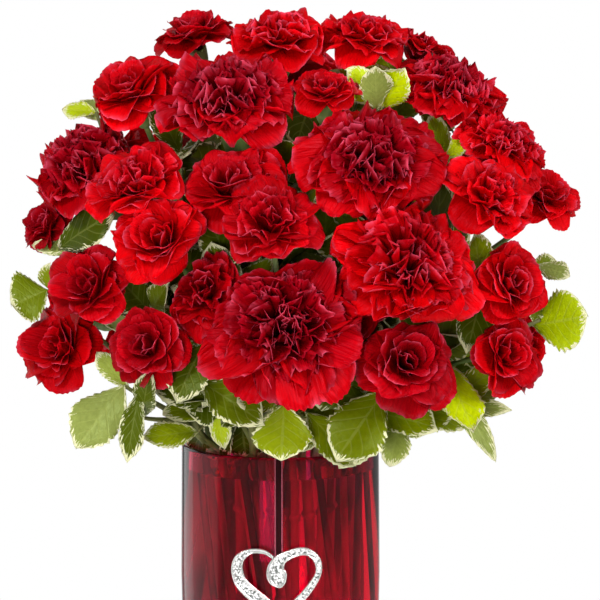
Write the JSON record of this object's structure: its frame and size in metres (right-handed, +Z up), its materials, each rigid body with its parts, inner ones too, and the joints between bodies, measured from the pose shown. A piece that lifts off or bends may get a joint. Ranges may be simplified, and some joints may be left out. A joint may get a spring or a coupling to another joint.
{
  "type": "carnations in a vase",
  "caption": "Red carnations and smaller spray carnations with variegated leaves, in a round red glass vase of water with a silver heart charm on its front.",
  "frame": {"origin": "centre of the vase's flat foot, on the table", "axes": "+Z up the vase's axis, -Y towards the front, where the charm hangs, +X to the viewer's right"},
  "size_m": [0.2909, 0.2657, 0.3721],
  "materials": {
    "petals": "soft, slightly velvety",
    "stems": "waxy grey-green",
    "leaves": "satin, with cream margins",
    "red_glass": "clear ruby glass",
    "water": "clear water",
    "silver": "polished, set with small clear stones",
    "ribbon": "dark red satin"
  },
  "bodies": {
    "root": {"large_1": "petals", "large_2": "petals", "large_3": "petals", "large_4": "petals", "large_5": "petals", "large_6": "petals", "large_7": "petals", "large_8": "petals", "large_9": "petals", "large_10": "petals", "large_11": "petals", "large_12": "petals", "mini_1": "petals", "mini_2": "petals", "mini_3": "petals", "mini_4": "petals", "mini_5": "petals", "mini_6": "petals", "mini_7": "petals", "mini_8": "petals", "mini_9": "petals", "mini_10": "petals", "mini_11": "petals", "mini_12": "petals", "mini_13": "petals", "mini_14": "petals", "mini_15": "petals", "mini_16": "petals", "mini_17": "petals", "mini_18": "petals", "mini_19": "petals", "mini_20": "petals", "mini_21": "petals", "mini_22": "petals", "mini_23": "petals", "mini_24": "petals", "mini_25": "petals", "mini_26": "petals", "mini_27": "petals", "mini_28": "petals", "mini_29": "petals", "stems_1": "stems", "stems_2": "stems", "stems_3": "stems", "stems_4": "stems", "stems_5": "stems", "stems_6": "stems", "stems_7": "stems", "stems_8": "stems", "stems_9": "stems", "foliage_1": "leaves", "foliage_2": "leaves", "foliage_3": "leaves", "foliage_4": "leaves", "foliage_5": "leaves", "foliage_6": "leaves", "vase": "red_glass", "water": "water", "heart_charm": "silver", "ribbon": "ribbon"}
  },
  "joints": []
}
